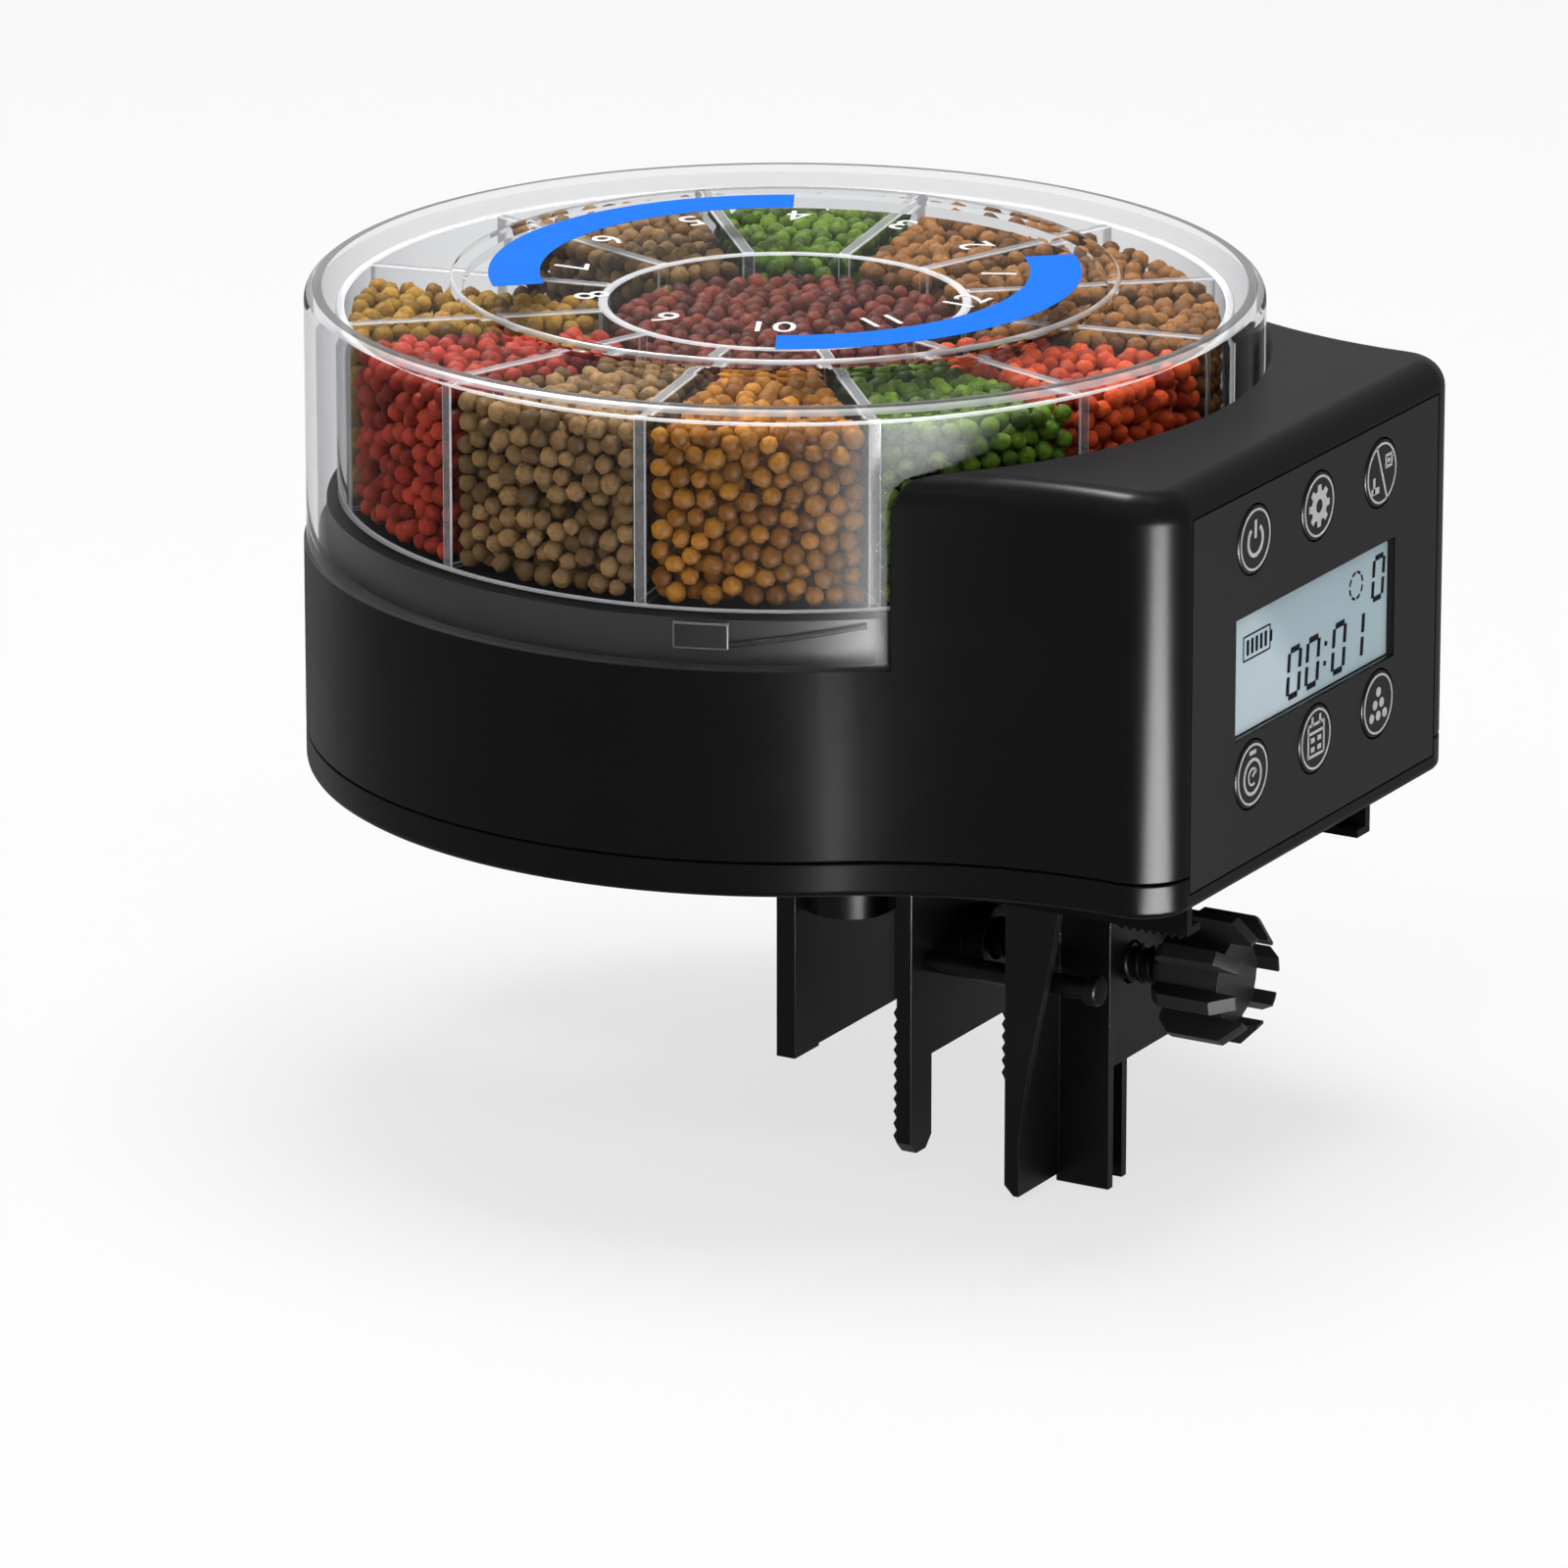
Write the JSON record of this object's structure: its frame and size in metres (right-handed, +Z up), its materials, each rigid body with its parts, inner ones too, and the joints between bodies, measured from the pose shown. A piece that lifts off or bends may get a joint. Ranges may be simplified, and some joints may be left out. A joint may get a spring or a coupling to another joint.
{
  "type": "automatic fish feeder",
  "caption": "Clamp-on automatic fish feeder: a turning compartment wheel under a clear lid, a control box with display and keys, and a screw clamp for the tank rim.",
  "frame": {"origin": "middle of the clamp's rest, on its underside, where the feeder bears on the rim of the tank", "axes": "+Z up, +X from the wheel towards the control panel and clamp knob, +Y along the tank's rim, away from the side shown in the picture"},
  "size_m": [0.1686, 0.15, 0.1337],
  "materials": {
    "black_abs": "satin",
    "black_nylon": "satin",
    "clear_wheel": "clear",
    "clear_lid": "clear",
    "display_window": "clear",
    "display_glass": "satin",
    "circuit_board": "satin",
    "spring_steel": "plated",
    "motor_can": "plated",
    "gear_plastic": "natural",
    "cell_sleeve": "plastic sleeve",
    "screw_steel": "plated"
  },
  "bodies": {
    "clamp": {"clamp_frame": "black_nylon"},
    "housing": {"battery_cell_1": "cell_sleeve", "battery_cell_2": "cell_sleeve", "battery_contact_bridge": "spring_steel", "battery_contact_minus": "spring_steel", "battery_contact_plus": "spring_steel", "bottom_cover": "black_abs", "cover_screw_1": "screw_steel", "cover_screw_2": "screw_steel", "cover_screw_3": "screw_steel", "cover_screw_4": "screw_steel", "front_panel": "black_abs", "gear_motor": "motor_can", "index_switch": "black_nylon", "key_dome_calendar": "spring_steel", "key_dome_lock": "spring_steel", "key_dome_portion": "spring_steel", "key_dome_power": "spring_steel", "key_dome_settings": "spring_steel", "key_dome_timer": "spring_steel", "lcd_module": "display_glass", "lcd_window": "display_window", "main_board": "circuit_board", "motor_screw_1": "screw_steel", "motor_screw_2": "screw_steel", "outlet_chute": "black_abs", "upper_housing": "black_abs"},
    "wheel": {"food_wheel": "clear_wheel", "drive_gear": "gear_plastic"},
    "pinion": {"motor_pinion": "gear_plastic"},
    "lid": {"lid": "clear_lid"},
    "battery_door": {"battery_door": "black_abs"},
    "jaw": {"moving_jaw": "black_nylon", "guide_pin_near": "black_nylon", "guide_pin_far": "black_nylon"},
    "screw": {"clamp_screw": "black_nylon", "clamp_knob": "black_nylon"},
    "key_power": {"key_power": "black_abs"},
    "key_settings": {"key_settings": "black_abs"},
    "key_lock": {"key_lock": "black_abs"},
    "key_timer": {"key_timer": "black_abs"},
    "key_calendar": {"key_calendar": "black_abs"},
    "key_portion": {"key_portion": "black_abs"}
  },
  "joints": [
    {"name": "housing_slide", "type": "slide", "parent": "clamp", "child": "housing", "axis": [-1, 0, 0], "range_m": [0, 0.02]},
    {"name": "wheel_turn", "type": "hinge", "parent": "housing", "child": "wheel", "pos_m": [-0.024, 0.01, 0.0588], "axis": [0, 0, 1], "continuous": true},
    {"name": "pinion_turn", "type": "hinge", "parent": "housing", "child": "pinion", "pos_m": [-0.03693, -0.02552, 0.0478], "axis": [0, 0, 1], "continuous": true},
    {"name": "lid_lift", "type": "slide", "parent": "housing", "child": "lid", "axis": [0, 0, 1], "range_m": [0, 0.06]},
    {"name": "battery_door_drop", "type": "slide", "parent": "housing", "child": "battery_door", "axis": [0, 0, -1], "range_m": [0, 0.03]},
    {"name": "key_power_press", "type": "slide", "parent": "housing", "child": "key_power", "axis": [-1, 0, 0], "range_m": [0, 0.0005], "stiffness_N_per_m": 600},
    {"name": "key_settings_press", "type": "slide", "parent": "housing", "child": "key_settings", "axis": [-1, 0, 0], "range_m": [0, 0.0005], "stiffness_N_per_m": 600},
    {"name": "key_lock_press", "type": "slide", "parent": "housing", "child": "key_lock", "axis": [-1, 0, 0], "range_m": [0, 0.0005], "stiffness_N_per_m": 600},
    {"name": "key_timer_press", "type": "slide", "parent": "housing", "child": "key_timer", "axis": [-1, 0, 0], "range_m": [0, 0.0005], "stiffness_N_per_m": 600},
    {"name": "key_calendar_press", "type": "slide", "parent": "housing", "child": "key_calendar", "axis": [-1, 0, 0], "range_m": [0, 0.0005], "stiffness_N_per_m": 600},
    {"name": "key_portion_press", "type": "slide", "parent": "housing", "child": "key_portion", "axis": [-1, 0, 0], "range_m": [0, 0.0005], "stiffness_N_per_m": 600},
    {"name": "jaw_slide", "type": "slide", "parent": "clamp", "child": "jaw", "axis": [1, 0, 0], "range_m": [-0.0054, 0.012]},
    {"name": "screw_turn", "type": "hinge", "parent": "jaw", "child": "screw", "pos_m": [0.0502, 0, -0.0053], "axis": [1, 0, 0], "range_deg": [-975, 2165]}
  ],
  "couplings": [
    {"joint": "pinion_turn", "follows": "wheel_turn", "ratio": -4},
    {"joint": "screw_turn", "follows": "jaw_slide", "rad_per_m": 3141.6}
  ]
}
